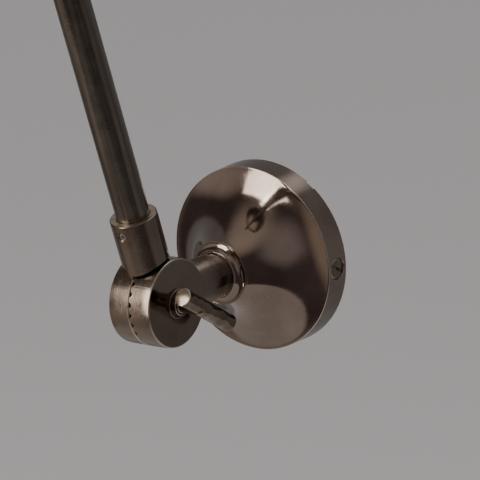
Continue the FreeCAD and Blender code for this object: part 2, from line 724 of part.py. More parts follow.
# ---------------------------------------------------------------- the whole mirror
def check_and_export():
    """Stop if anything failed, then write each piece to its own file."""
    for item in doc.Objects:
        if {"Invalid", "Error"} & set(item.State):
            raise RuntimeError(f"{item.Label} failed: {item.State}")
    for body in PIECES:
        if body.Shape.isNull() or not body.Shape.isValid():
            raise RuntimeError(f"{body.Label} has no valid shape")
    os.makedirs("parts", exist_ok=True)
    for body in PIECES:
        body.Shape.exportStep(f"parts/{body.Label}.step")
        print(f"{body.Label}: {len(body.Shape.Solids)} solid(s), {body.Shape.Volume / 1000:.2f} cm3")


def tooth_turn(stem_turn):
    """How far to turn a half's first notch so that both halves' teeth stand tip to tip at rest."""
    return -(stem_turn % (360 / TEETH))


wall_plate()
wall_rose()
rose_rim_screws()
stud("wall_stud", about_x(90, Vector()), as_dim(0.5), S["knuckle_reach"] - S["stud_hole_floor"])
lock_nut("wall_lock_nut", about_x(90, Vector()), S["plate_height"])
flared_collar("wall_collar", WALL_NECK_FRAME)
neck_half("wall_neck_half", WALL_NECK_FRAME, tooth_turn(-90))
clamp("wall", WALL_KNUCKLE, WALL_BAR_TURN)

socket_half("wall_socket_half", ARM_FRAME, S["tube_radius"], tooth_turn(ARM_LEAN))
grub_screw("wall_grub_screw", ARM_FRAME, S["tube_radius"])
arm_tube()
arm_guide_bush()
arm_lock_collar()
arm_piston()
arm_piston_screw()
arm_rod()

socket_half("mirror_socket_half", ROD_END_FRAME, S["rod_radius"], tooth_turn(ARM_LEAN + 180))
grub_screw("mirror_grub_screw", ROD_END_FRAME, S["rod_radius"])
neck_half("mirror_neck_half", HEAD_FRAME, tooth_turn(90))
clamp("mirror", MIRROR_KNUCKLE, MIRROR_BAR_TURN)
flared_collar("mirror_collar", HEAD_FRAME)
mirror_back()
flange_front = mirror_flange()
lock_nut("mirror_lock_nut", HEAD_FRAME, flange_front)
stud("mirror_stud", HEAD_FRAME, S["stud_hole_floor"], flange_front + S["nut_thick"] + 0.6)
mirror_pad()
mirror_glass()
mirror_bezel()
check_and_export()
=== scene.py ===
# %% [markdown]
# # An extendable shaving mirror in aged brass
# A flared rose on the wall carries a toothed knuckle. A telescopic arm rises from it, and a second knuckle at its
# end carries the round mirror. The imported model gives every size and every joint. This script makes the pieces
# that show, with crisp turned surfaces, and gives every piece its finish.

import json
import math

import bmesh
import bpy
import numpy as np
from mathutils import Matrix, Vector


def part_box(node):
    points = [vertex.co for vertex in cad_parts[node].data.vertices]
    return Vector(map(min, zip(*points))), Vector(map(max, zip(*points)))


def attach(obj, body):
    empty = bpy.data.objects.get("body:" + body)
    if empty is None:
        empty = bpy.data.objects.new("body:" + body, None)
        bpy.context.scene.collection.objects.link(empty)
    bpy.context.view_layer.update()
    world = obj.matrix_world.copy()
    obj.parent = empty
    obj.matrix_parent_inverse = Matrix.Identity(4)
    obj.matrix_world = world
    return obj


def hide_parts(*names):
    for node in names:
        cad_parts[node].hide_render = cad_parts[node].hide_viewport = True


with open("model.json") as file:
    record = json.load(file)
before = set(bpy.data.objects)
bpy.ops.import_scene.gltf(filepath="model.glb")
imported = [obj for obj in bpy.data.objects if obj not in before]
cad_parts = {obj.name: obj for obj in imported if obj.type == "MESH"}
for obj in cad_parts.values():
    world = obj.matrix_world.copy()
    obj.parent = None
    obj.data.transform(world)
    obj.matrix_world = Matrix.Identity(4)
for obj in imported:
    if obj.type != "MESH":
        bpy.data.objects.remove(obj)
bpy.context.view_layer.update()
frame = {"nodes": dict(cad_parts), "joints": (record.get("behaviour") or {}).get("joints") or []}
nodes = frame["nodes"]
MM = 0.001

# %% [markdown]
# ## Where things stand
# Each part of the mirror was turned on a lathe about some line. A place is that line: a point on it, its way
# along, and a way across from which angles are counted. The lines are read from the joints, so nothing is fitted.

# %% Places
joints = {joint["name"]: joint for joint in frame["joints"]}


def unit(vector):
    """The vector divided by its length."""
    vector = np.array(vector, float)
    return vector / np.linalg.norm(vector)


def place(point, along, across):
    """Columns across, side, along and the point, all as one 4 x 4 array."""
    along, across = unit(along), unit(across)
    matrix = np.eye(4)
    matrix[:3, 0], matrix[:3, 1], matrix[:3, 2] = across, np.cross(along, across), along
    matrix[:3, 3] = point
    return matrix


def way_out(where, degrees):
    """A way straight out from a place's line: across times the cosine of a turn, plus side times its sine."""
    turn = math.radians(degrees)
    return where[:3, 0] * math.cos(turn) + where[:3, 1] * math.sin(turn)


LEFT_RIGHT, TO_WALL, TO_ROOM = (1, 0, 0), (0, 1, 0), (0, -1, 0)
wall_point = np.array(joints["wall_knuckle"]["pos_m"])
mirror_point = np.array(joints["mirror_knuckle"]["pos_m"])
arm_way = unit(joints["arm_slide"]["axis"])
reach = -wall_point[1] / MM
span = float(np.linalg.norm(mirror_point - wall_point)) / MM
rose_place = place((0, 0, 0), TO_ROOM, LEFT_RIGHT)
wall_neck_place = place(wall_point, TO_WALL, LEFT_RIGHT)
arm_place = place(wall_point, arm_way, LEFT_RIGHT)
rod_end_place = place(mirror_point, -arm_way, LEFT_RIGHT)
head_place = place(mirror_point, TO_ROOM, LEFT_RIGHT)
print("wall to knuckle %.1f mm, knuckle to knuckle %.1f mm" % (reach, span))

# %% [markdown]
# ## Turned pieces
# A lathe gives a surface of two parameters: how far along a profile, and how far round. The profile is a list of
# corners, each with the radius of its small round. Rounds matter more than anything else on polished metal, because
# they catch the light as thin bright lines. Two things are kept for the finishes. The attribute "wear" is 1 on the
# rounds, where hands and cloths rub. The UV map holds millimetres round and along, for the marks of the polishing.

# %% Profiles
ARC_POINTS, BOW_POINTS = 5, 40


def arc(centre, first, last, swing, t):
    """Points on a circle from centre + first to centre + last, at shares t of the angle between them.

    The formula is (sin((1 - t) swing) first + sin(t swing) last) / sin(swing).
    """
    t = t[:, None]
    return centre + (np.sin((1 - t) * swing) * first + np.sin(t * swing) * last) / math.sin(swing)


def rounded(corners):
    """Points of a profile. A corner (along, out, round) becomes an arc tangent to its two runs.

    An optional fourth number bows the run that ends at the corner, as for bowed.
    Returns an n x 2 array of points and an n array that is about 1 on the arcs and 0 elsewhere.
    """
    corners = [tuple(c) + (0.0,) * (4 - len(c)) for c in corners]
    flat = np.array([c[:2] for c in corners])
    points, wear = [], []
    for i, (_, _, size, bow) in enumerate(corners):
        here, before, after = flat[i], flat[i - 1], flat[(i + 1) % len(corners)]
        if bow and i:
            points.append(bowed(before, here, bow))
            wear.append(np.zeros(BOW_POINTS))
        if not size or i in (0, len(corners) - 1):
            points.append(here[None])
            wear.append(np.full(1, 1.0 if size else 0.0))
            continue
        back, on = unit(before - here), unit(after - here)
        half = 0.5 * math.acos(float(np.clip(back @ on, -1, 1)))
        # an arc takes at most 0.45 of either run, so that two arcs on one run never meet
        cut = min(size / math.tan(half), 0.45 * np.linalg.norm(before - here), 0.45 * np.linalg.norm(after - here))
        centre = here + unit(back + on) * cut * math.tan(half) / math.sin(half)
        first, last = here + back * cut - centre, here + on * cut - centre
        # a point just outside each end of the arc keeps the smooth shading of the arc off the flat run
        hold = cut * 1.25
        turn = arc(centre, first, last, math.pi - 2 * half, np.linspace(0, 1, ARC_POINTS))
        points += [(here + back * hold)[None], turn, (here + on * hold)[None]]
        wear += [np.zeros(1), worn_round(ARC_POINTS), np.zeros(1)]
    return np.concatenate(points), np.concatenate(wear)


def worn_round(count):
    """Wear over one rounded edge: a half wave that is 1 in the middle and small at both ends."""
    return np.sin(np.linspace(0.15, 0.85, count) * math.pi)


def bowed(start, end, radius):
    """The points between two corners on a circle of this radius, centred left of the run if it is positive."""
    chord = end - start
    length = np.linalg.norm(chord)
    side = np.array([-chord[1], chord[0]]) / length
    rise = math.sqrt(radius * radius - length * length / 4)
    centre = (start + end) / 2 + side * math.copysign(rise, radius)
    first, last = start - centre, end - centre
    swing = math.acos(float(np.clip(first @ last / radius ** 2, -1, 1)))
    return arc(centre, first, last, swing, np.linspace(0, 1, BOW_POINTS + 2)[1:-1])


print("points on a round:", ARC_POINTS, "and on a bow:", BOW_POINTS)

# %% Grids into meshes
SHARP, SHARP_CUT, SHARP_TEETH = 50, 35, 28      # the least angle of a real edge in degrees: turned, cut, toothed


def put(name, grid, where, wear, uv, ring=True, sharp=SHARP):
    """A mesh from a grid of points, rows x columns x 3, in millimetres in a place.

    Columns close on themselves, and rows do if ring is true. wear has a number for each row, and uv the
    millimetres round for each column and along for each row. Rows that lie on the line become poles.
    """
    rows, columns = grid.shape[:2]
    points = grid.reshape(-1, 3) * MM @ where[:3, :3].T + where[:3, 3]
    i, j = np.meshgrid(np.arange(rows if ring else rows - 1), np.arange(columns), indexing="ij")
    up, on = (i + 1) % rows, (j + 1) % columns
    quads = np.stack([i * columns + j, i * columns + on, up * columns + on, up * columns + j], -1).reshape(-1, 4)
    mesh = bpy.data.meshes.new(name)
    mesh.from_pydata(points, [], quads)
    mesh.update()
    wear_at = mesh.attributes.new("wear", "FLOAT", "POINT")
    wear_at.data.foreach_set("value", np.repeat(wear, columns))
    # the last column of faces takes the full turn, so that the pattern doesn't run backwards there
    round_at = np.append(uv[0], 2 * uv[0][-1] - uv[0][-2])
    along_at = np.append(uv[1], uv[1][-1])
    u = np.stack([round_at[j], round_at[j + 1], round_at[j + 1], round_at[j]], -1)
    v = np.stack([along_at[i], along_at[i], along_at[i + 1], along_at[i + 1]], -1)
    layer = mesh.uv_layers.new(name="UVMap")
    layer.data.foreach_set("uv", np.stack([u, v], -1).ravel())
    tidy_mesh(mesh, sharp)
    piece = bpy.data.objects.new(name, mesh)
    bpy.context.scene.collection.objects.link(piece)
    return piece


def tidy_mesh(mesh, sharp):
    """Poles become single points, faces point outwards, and only real edges stay sharp."""
    bm = bmesh.new()
    bm.from_mesh(mesh)
    bmesh.ops.remove_doubles(bm, verts=bm.verts, dist=1e-7)
    bmesh.ops.dissolve_degenerate(bm, edges=bm.edges, dist=1e-7)
    bmesh.ops.recalc_face_normals(bm, faces=bm.faces)
    bm.to_mesh(mesh)
    bm.free()
    mesh.shade_smooth()
    mesh.set_sharp_from_angle(angle=math.radians(sharp))


def turned(name, corners, where, columns, shape=None, ring=True):
    """A surface of revolution: the point (along, out) of the profile goes to (out cos a, out sin a, along).

    shape may change the radius: a function of the along, angle and out arrays that returns millimetres to add.
    """
    profile, wear = rounded(corners)
    angle = np.linspace(0, 2 * math.pi, columns, endpoint=False)
    along = np.repeat(profile[:, :1], columns, 1)
    out = np.repeat(profile[:, 1:], columns, 1)
    if shape:
        out = out + shape(along, np.repeat(angle[None], len(profile), 0), out)
    grid = np.stack([out * np.cos(angle), out * np.sin(angle), along], -1)
    length = np.concatenate([[0], np.cumsum(np.linalg.norm(np.diff(profile, axis=0), axis=1))])
    usual = max(float(np.median(profile[:, 1])), 1.0)
    return put(name, grid, where, wear, (angle * usual, length), ring=ring)


print("turned pieces are ready to make")

# %% [markdown]
# ## Joining solids
# The knuckle halves aren't made on a lathe alone: a disc and a stem meet at a right angle. Each is a turned shape,
# and a Boolean joins them, which gives the same crisp crossing line as the milled and brazed original.


# %% Booleans
def combine(target, tool, operation):
    """Apply one exact Boolean and delete its tool."""
    step = target.modifiers.new(operation, "BOOLEAN")
    step.operation, step.solver, step.object = operation, "EXACT", tool
    bpy.context.view_layer.update()
    graph = bpy.context.evaluated_depsgraph_get()
    mesh = bpy.data.meshes.new_from_object(target.evaluated_get(graph))
    target.modifiers.clear()
    old, target.data = target.data, mesh
    mesh.name = target.name
    bpy.data.meshes.remove(old)
    bpy.data.objects.remove(tool)


print("booleans are ready")

# %% [markdown]
# ## The rose
# A spun and turned cover with an upright rim. Its face is hollow like a trumpet's bell: nearly flat at the rim and
# steep at the collar. That hollow is what draws a window out into the curved patches seen on it. Three slotted
# screws pass through the rim, and a small thumb notch in its back edge helps to prise it off.

# %% Rose
RIM, SKIN, FACE = 37.5, 1.6, 31.7                 # rim radius, sheet thickness, and the height of the flat face
SCREWS, RIM_TURN, SCREW_RISE, SCREW_HOLE = 3, -2.0, 5.7, 4.25
NOTCH_TURN, NOTCH = 52.0, 2.2


def screw_place(k):
    """The line of rim screw k, straight out from the rose's line and SCREW_RISE above the wall."""
    out = way_out(rose_place, RIM_TURN + 360 // SCREWS * k)
    return place(rose_place[:3, 2] * SCREW_RISE * MM, out, rose_place[:3, 2])


rose = turned("rose", [
    (0.0, RIM - SKIN), (0.0, RIM, 0.25), (11.0, 37.15, 0.3), (FACE, 12.3, 0.25, 40.0),
    (FACE, 4.4, 0.2), (FACE - SKIN, 4.4, 0.2), (FACE - SKIN, 11.3, 0.3), (9.4, 35.1, 0.5, -41.6), (8.6, 35.55, 0.3)],
    rose_place, columns=288)
for k in range(SCREWS):
    hole = turned("hole", [(33.0, 0.0), (33.0, SCREW_HOLE), (37.05, SCREW_HOLE), (38.5, SCREW_HOLE + 0.9),
                           (38.5, 0.0)], screw_place(k), columns=64, ring=False)
    combine(rose, hole, "DIFFERENCE")
notch_way = way_out(rose_place, NOTCH_TURN)
notch = turned("notch", [(-1.0, 0.0), (-1.0, NOTCH), (0.9, NOTCH), (0.9, 0.0)],
               place(notch_way * RIM * MM, rose_place[:3, 2], notch_way), columns=48, ring=False)
combine(rose, notch, "DIFFERENCE")
tidy_mesh(rose.data, SHARP_CUT)
print("rose faces:", len(rose.data.polygons))

# %% [markdown]
# ## Rim screws
# Cheese-head screws with a slot, let into the rim so that their faces follow its curve. Each head is turned with a
# softened edge, and the slot is one saw cut.

# %% Rim screws
SLOT_TURN, SLOT_HALF, SLOT_FLOOR = -28.0, 0.55, 35.9


def saw_cut(where):
    """A flat box across a screw's line, from the slot's floor to well above the head."""
    cut = np.array([[-6.0, -SLOT_HALF], [6.0, -SLOT_HALF], [6.0, SLOT_HALF], [-6.0, SLOT_HALF]])
    corners = np.concatenate([np.c_[cut, np.full(4, SLOT_FLOOR)], np.c_[cut, np.full(4, 38.5)]]) * MM
    mesh = bpy.data.meshes.new("slot")
    mesh.from_pydata(corners @ where[:3, :3].T + where[:3, 3], [],
                     [(0, 3, 2, 1), (4, 5, 6, 7), (0, 1, 5, 4), (1, 2, 6, 5), (2, 3, 7, 6), (3, 0, 4, 7)])
    saw = bpy.data.objects.new("slot", mesh)
    bpy.context.scene.collection.objects.link(saw)
    return saw


heads = []
for k in range(SCREWS):
    where = screw_place(k)
    head = turned("rim_screw_%d" % k, [(34.35, 0.0), (34.35, 4.0, 0.2), (36.85, 4.0, 0.35), (37.05, 0.0)], where,
                  columns=72, ring=False)
    combine(head, saw_cut(place(where[:3, 3], where[:3, 2], way_out(where, SLOT_TURN))), "DIFFERENCE")
    tidy_mesh(head.data, SHARP_CUT)
    heads.append(head)
print("screw heads:", len(heads))

# %% [markdown]
# ## Knuckle halves
# Each half is a disc with 27 V-shaped notches, cut as if by one straight cutter, so a notch keeps its width from
# rim to hub. The columns of the grid follow the notches: at a radius r a line s millimetres beside a notch's middle
# lies at the angle asin(s / r). The stem is turned separately and joined on.

# %% Toothed discs
TEETH, TOOTH_WIDE, TOOTH_DEEP, GAP = 27, 2.5, 1.5, 0.05          # GAP is from the joint's middle to the tooth tips
KNUCKLE, HALF, EDGE, BACK_ROUND = 17.1, 9.55, 0.4, 0.5           # radius, thickness, and the two edges' breaks
RECESS, RECESS_DEEP, RING_INSIDE = 7.2, 2.4, 8.4                 # spring seat, and where the teeth start
BOW_LONG, BOW_FLAT = 3.6, 50                                     # the barrel draws in by x * x / 50 over its last 3.6
PITCH, LANDS = 2 * math.pi / TEETH, 3                            # LANDS columns fill each land between two notches


def toothed_disc(name, where, side, bore, first, lip):
    """A grid of profile rows and notch-following columns. first is the angle of notch 0, from the stem, in degrees.

    With a lip the notches stop short of the rim, which keeps its edge whole. A row is (depth, radius, notched).
    """
    at_rim = 0 if lip else 1
    rows = [(GAP + RECESS_DEEP, bore, 0), (GAP + RECESS_DEEP, RECESS, 0), (GAP, RECESS, 0), (GAP, RING_INSIDE, 0),
            (GAP, RING_INSIDE + 0.001, 1), (GAP, 12.5, 1), (GAP, KNUCKLE - EDGE - 0.15, 1),
            (GAP, KNUCKLE - EDGE - 0.1, at_rim), (GAP, KNUCKLE - EDGE, at_rim), (GAP + EDGE, KNUCKLE, at_rim),
            (GAP + EDGE + 0.12, KNUCKLE, at_rim), (GAP + TOOTH_DEEP + 0.05, KNUCKLE, 0),
            (GAP + TOOTH_DEEP + 0.3, KNUCKLE, 0)]
    for x in np.linspace(GAP + RECESS_DEEP, HALF - BACK_ROUND, 16):
        rows.append((x, KNUCKLE - max(x - (HALF - BOW_LONG), 0.0) ** 2 / BOW_FLAT, 0))
    drawn_in = (BOW_LONG - BACK_ROUND) ** 2 / BOW_FLAT
    for a in np.linspace(0.15, math.pi / 2, 7):
        rows.append((HALF - BACK_ROUND + BACK_ROUND * math.sin(a),
                     KNUCKLE - drawn_in - BACK_ROUND + BACK_ROUND * math.cos(a), 0))
    rows += [(HALF, KNUCKLE - 0.9, 0), (HALF, 12.0, 0), (HALF, 6.5, 0), (HALF, bore, 0)]
    rows = np.array(rows)
    wear = np.zeros(len(rows))
    wear[6:10] = 1.0
    wear[-11:-4] = worn_round(7)
    x, radius, cut = (rows[:, k][:, None] for k in range(3))
    # near the middle the notches crowd together, so they narrow there to stay side by side
    half_width = np.arcsin(np.minimum(TOOTH_WIDE / 2 / radius, math.sin(0.46 * PITCH)))
    columns = []
    for k in range(TEETH):
        middle = PITCH * k
        sides = [middle - half_width, middle + 0 * radius, middle + half_width]
        land = PITCH - 2 * half_width
        columns += sides + [sides[2] + land * (m + 1) / (LANDS + 1) for m in range(LANDS)]
    angle = np.concatenate(columns, 1) + math.radians(first)
    notch = np.tile([0.0, 1.0, 0.0] + [0.0] * LANDS, TEETH)[None] * cut
    deep = np.where(cut > 0, np.maximum(x, GAP + TOOTH_DEEP * notch), x)
    grid = np.stack([np.broadcast_to(deep * side, angle.shape), -radius * np.sin(angle), radius * np.cos(angle)], -1)
    length = np.concatenate([[0], np.cumsum(np.hypot(np.diff(rows[:, 0]), np.diff(rows[:, 1])))])
    around = np.linspace(0, 2 * math.pi, angle.shape[1], endpoint=False) * KNUCKLE
    return put(name, grid, where, wear, (around, length), sharp=SHARP_TEETH)


print("notches:", TEETH, "one every %.1f degrees" % math.degrees(PITCH))

# %% Stems and halves
STEM, SEAT, COLLAR_FACE = 9.0, 21.0, 35.8         # stem radius, and how far out the tube's seat and the collar begin
SWEPT = KNUCKLE + 1.1                             # the room that a stem leaves round the other half's disc
STEM_COLUMNS = 152                                # other counts can lay a stem's edge on a disc's, and lose the disc


def knuckle_half(name, where, side, length, bore, first, mouth):
    """A toothed disc joined to its stem, after the stem is cut clear of the other half's disc.

    length is where the stem ends. mouth is the radius of the tube's seat in it, or 0 if it stands on a collar.
    """
    disc = toothed_disc(name, where, side, bore, first, bool(mouth))
    if mouth:
        end = [(length, STEM, 0.45), (length, mouth, 0.3), (SEAT, mouth), (SEAT, 0.0)]
    else:
        end = [(length, STEM), (length, 4.0), (20.0, 4.0), (20.0, 0.0)]
    stem = turned("stem", [(12.0, 0.0), (12.0, STEM)] + end, where, columns=STEM_COLUMNS, ring=False)
    across = place(where[:3, 3], where[:3, 0] * side, where[:3, 2])
    room = turned("room", [(-12.0, 0.0), (-12.0, SWEPT), (GAP, SWEPT), (GAP, KNUCKLE - 0.5), (0.95, KNUCKLE - 0.9),
                           (0.95, 0.0)], across, columns=160, ring=False)
    combine(stem, room, "DIFFERENCE")
    combine(disc, stem, "UNION")
    tidy_mesh(disc.data, SHARP_TEETH)
    return disc


def first_notch(stem_angle):
    """The turn from a stem to a notch that leaves one notch upright. The stem leans out from upright by stem_angle."""
    return -(stem_angle % (360 / TEETH))


lean = math.degrees(math.asin(-arm_way[1]))
wall_neck = knuckle_half("wall_neck", wall_neck_place, 1, COLLAR_FACE, 3.1, first_notch(-90), 0)
wall_socket = knuckle_half("wall_socket", arm_place, -1, 36.8, 3.05, first_notch(lean), 6.36)
mirror_neck = knuckle_half("mirror_neck", head_place, 1, COLLAR_FACE, 3.1, first_notch(90), 0)
mirror_socket = knuckle_half("mirror_socket", rod_end_place, -1, 36.8, 3.05, first_notch(lean + 180), 4.51)
print("knuckle faces:", [len(p.data.polygons) for p in (wall_neck, wall_socket, mirror_neck, mirror_socket)])


# %% Grub screw holes
def drill_grub_hole(half, where, node):
    """A stepped hole for the grub screw of that node, drilled straight at the stem's line."""
    low, high = (np.array(corner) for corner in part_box(node))
    centre = (low + high) / 2
    foot = where[:3, 3] + (centre - where[:3, 3]) @ where[:3, 2] * where[:3, 2]
    hole = turned("grub_hole", [(3.0, 0.0), (3.0, 1.42), (8.5, 1.42), (9.1, 1.95), (10.0, 1.95), (10.0, 0.0)],
                  place(foot, centre - foot, where[:3, 2]), columns=48, ring=False)
    # freshly cut metal: the whole hole, and so its countersink, is as bright as the most worn edge
    hole.data.attributes["wear"].data.foreach_set("value", np.full(len(hole.data.vertices), 1.5))
    combine(half, hole, "DIFFERENCE")
    tidy_mesh(half.data, SHARP_TEETH)


drill_grub_hole(wall_socket, arm_place, "wall_grub_screw")
drill_grub_hole(mirror_socket, rod_end_place, "mirror_grub_screw")
print("drilled:", wall_socket.name, mirror_socket.name)

# %% [markdown]
# ## Collars and arm
# Plain turned pieces, each from its own list of corners. The lock collar is turned too, but thirty shallow flutes
# are pressed into it: their depth is a function of the angle, faded out towards both ends.

# %% Collars
collar_corners = [(COLLAR_FACE, 4.2), (COLLAR_FACE, 9.1, 0.05), (38.45, 12.7, 0.06, 3.4), (38.8, 12.7, 0.1),
                  (38.8, 4.2)]
wall_collar = turned("wall_cove", collar_corners, wall_neck_place, columns=224)
mirror_collar = turned("mirror_cove", collar_corners, head_place, columns=224)
print("collars:", wall_collar.name, mirror_collar.name)

# %% Telescopic arm
TUBE, TUBE_BORE, TUBE_END, ROD = 6.35, 5.15, 262.0, 4.5
tube = turned("arm_tube_skin", [(SEAT, TUBE_BORE), (SEAT, TUBE, 0.1), (TUBE_END, TUBE, 0.4),
                                (TUBE_END, TUBE_BORE, 0.1)], arm_place, columns=128)
rod = turned("arm_rod_skin", [(84.05, 1.5), (84.05, ROD, 0.2), (span - SEAT, ROD, 0.2), (span - SEAT, 3.5, 0.1),
                              (94.05, 3.5), (94.05, 1.5)], arm_place, columns=112)
bush = turned("arm_bush", [(244.0, 4.56), (244.0, TUBE_BORE), (TUBE_END, TUBE_BORE), (TUBE_END, TUBE, 0.1),
                           (263.0, TUBE, 0.2), (263.0, 4.56, 0.1)], arm_place, columns=96)
print("arm pieces:", tube.name, rod.name, bush.name)

# %% Lock collar
LOCK, FLUTES, FLUTE_DEEP, FLUTES_FROM, FLUTES_TO = 9.0, 30, 0.35, 252.0, 267.2


def flutes(along, angle, out):
    """Shallow round grooves: minus the depth times cos(30 a) to the 0.6, faded over a millimetre at both ends."""
    fade = np.clip((along - FLUTES_FROM) / 1.2, 0, 1) * np.clip((FLUTES_TO - along) / 1.2, 0, 1)
    groove = np.clip(np.cos(angle * FLUTES), 0, 1) ** 0.6
    return -FLUTE_DEEP * groove * fade * (out > LOCK - 0.5)


band = [(z, LOCK) for z in (FLUTES_FROM, 252.6, 253.2, 256.0, 260.0, 264.0, 266.0, 266.6, FLUTES_TO)]
lock = turned("arm_lock", [(250.0, 6.42, 0.1), (250.0, LOCK, 0.7)] + band + [(270.0, LOCK, 1.3), (270.0, 4.66, 0.2),
              (263.2, 4.66), (263.2, 6.42)], arm_place, columns=360, shape=flutes)
print("lock collar:", lock.name, "with", FLUTES, "flutes")

# %% [markdown]
# ## Clamp screw, cross bar and pin
# The screw carries a shoulder that presses the knuckle together, and a slim shank. The bar on its end is the key by
# which a hand turns it: round, crowned at both ends, with a small domed pin that holds it on the shank.

# %% Clamps
BAR_PLACE, BAR, BAR_RISE, BAR_ROUND = 20.4, 3.4, 0.3, 0.45
SHANK, SHOULDER, PIN, PIN_RISE, PIN_TURN = 3.1, 4.4, 1.78, 0.95, -53
WALL_BAR_TURN, MIRROR_BAR_TURN = 56, 20


def crown(radius, rise):
    """The radius of the circle through a rim and a middle that stands rise above it: (r r + h h) / 2 h."""
    return (radius * radius + rise * rise) / (2 * rise)


def bar_way(turn):
    """The way of a bar that leans from upright by turn, in degrees, towards the room."""
    return np.array([0.0, -math.sin(math.radians(turn)), math.cos(math.radians(turn))])


def clamp(prefix, point, turn):
    """The screw, bar, washer and pin on a knuckle's line. The shoulder stands 0.04 mm clear of the washer."""
    up = bar_way(turn)
    axis = place(point, LEFT_RIGHT, up)
    screw = turned(prefix + "_screw", [(-7.4, 0.0), (-7.4, 3.0, 0.3), (10.37, 3.0), (10.37, SHOULDER, 0.15),
                                       (12.2, SHOULDER, 0.35), (12.2, SHANK, 0.3), (BAR_PLACE - 1.6, SHANK),
                                       (BAR_PLACE - 1.6, 0.0)], axis, columns=96, ring=False)
    bar_place = place(point + np.array(LEFT_RIGHT) * BAR_PLACE * MM, up, LEFT_RIGHT)
    dome, inside = crown(BAR - BAR_RISE, BAR_RISE), BAR - BAR_RISE
    bar = turned(prefix + "_bar", [(-19.9, 0.0), (-19.6, inside, 0.0, -dome), (-19.5, BAR, BAR_ROUND),
                                   (11.8, BAR, BAR_ROUND), (11.9, inside), (12.2, 0.0, 0.0, -dome)],
                 bar_place, columns=96, ring=False)
    washer = turned(prefix + "_washer", [(HALF, 3.15), (HALF, 5.6, 0.12), (10.33, 5.6, 0.12), (10.33, 3.15)], axis,
                    columns=96)
    pin = turned(prefix + "_pin", [(2.45, 0.0), (2.45, PIN), (3.35, PIN, 0.1),
                                   (4.3, 0.0, 0.0, -crown(PIN, PIN_RISE))],
                 place(bar_place[:3, 3] + up * 1.7 * MM, way_out(bar_place, PIN_TURN), up), columns=48, ring=False)
    return screw, bar, washer, pin


wall_screw, wall_bar, wall_washer, wall_pin = clamp("wall", wall_point, WALL_BAR_TURN)
mirror_screw, mirror_bar, mirror_washer, mirror_pin = clamp("mirror", mirror_point, MIRROR_BAR_TURN)
print("clamps:", wall_bar.name, mirror_bar.name)

# %% [markdown]
# ## Mirror head
# The dish behind the mirror is spun from sheet, with a shallow dome. The bezel is a turned ring whose lip laps the
# glass. The glass has a narrow bevel, which shows as a second bright ring inside the bezel.

# %% Mirror head
DISH_BACK, DISH, GLASS, FRONT, PLAY = 38.8, 98.0, 96.5, 55.3, 0.02
dish = turned("mirror_dish", [(DISH_BACK, 4.2), (DISH_BACK, 12.3, 0.3), (48.3, 96.5, 0.6, -420.0), (49.8, DISH, 0.6),
                              (FRONT, DISH, 0.1), (FRONT, 96.8, 0.1), (49.8, 96.8), (49.5, 95.9, 0.3),
                              (40.0, 12.3, 0.3, 418.8), (40.0, 4.2)], head_place, columns=320)
glass = turned("mirror_silvered", [(51.3, 0.0), (51.3, GLASS), (54.9, GLASS, 0.05), (FRONT, GLASS - 0.8, 0.05),
                                   (FRONT, 0.0)], head_place, columns=256, ring=False)
bezel = turned("mirror_ring", [(48.3, DISH + PLAY), (48.3, 100.0, 0.4), (56.7, 100.0, 1.9), (56.7, 94.4, 0.5),
                               (FRONT + PLAY, 94.4, 0.2), (FRONT + PLAY, DISH + PLAY)], head_place, columns=320)
print("mirror head:", dish.name, glass.name, bezel.name)

# %% [markdown]
# ## What rides on what
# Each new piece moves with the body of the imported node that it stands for, and takes that node's slot of finish.

# %% Bodies and slots
POLISHED, SATIN = "aged_brass_polished", "aged_brass_satin"
stands_for = [
    (rose, "wall_bracket", "wall_rose", POLISHED),
    (wall_collar, "wall_bracket", "wall_collar", POLISHED),
    (wall_neck, "wall_bracket", "wall_neck_half", SATIN),
    (wall_washer, "wall_bracket", "wall_clamp_washer", SATIN),
    (wall_screw, "wall_clamp", "wall_clamp_screw", SATIN),
    (wall_bar, "wall_clamp", "wall_t_bar", SATIN),
    (wall_pin, "wall_clamp", "wall_t_bar_pin", SATIN),
    (wall_socket, "lower_arm", "wall_socket_half", SATIN),
    (tube, "lower_arm", "arm_tube", SATIN),
    (bush, "lower_arm", "arm_guide_bush", "nylon"),
    (lock, "lock_collar", "arm_lock_collar", SATIN),
    (rod, "upper_arm", "arm_rod", SATIN),
    (mirror_socket, "upper_arm", "mirror_socket_half", SATIN),
    (mirror_screw, "mirror_clamp", "mirror_clamp_screw", SATIN),
    (mirror_bar, "mirror_clamp", "mirror_t_bar", SATIN),
    (mirror_pin, "mirror_clamp", "mirror_t_bar_pin", SATIN),
    (mirror_neck, "mirror_head", "mirror_neck_half", SATIN),
    (mirror_washer, "mirror_head", "mirror_clamp_washer", SATIN),
    (mirror_collar, "mirror_head", "mirror_collar", POLISHED),
    (dish, "mirror_head", "mirror_back", POLISHED),
    (glass, "mirror_head", "mirror_glass", "silvered_glass"),
    (bezel, "mirror_head", "mirror_bezel", POLISHED),
] + [(head, "wall_bracket", "rose_rim_screws", POLISHED) for head in heads]
for piece, body, node, slot in stands_for:
    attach(piece, body)
    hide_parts(node)
print("new pieces:", len(stands_for))

# %% [markdown]
# ## Materials
# Colours are written as sRGB hex values and turned to linear ones by one function. One small function adds a node
# with its settings and links, so that each material reads as a short recipe. Noise is scaled in turns to a metre, so
# a scale of 1000 / s gives patches about s millimetres across.


# %% Node helpers
def linear(code):
    """sRGB hex to linear: divide by 12.92 below 0.04045, else raise (c + 0.055) / 1.055 to 2.4."""
    c = np.array([int(code[k:k + 2], 16) for k in (1, 3, 5)]) / 255
    c = np.where(c <= 0.04045, c / 12.92, ((c + 0.055) / 1.055) ** 2.4)
    return tuple(c) + (1.0,)


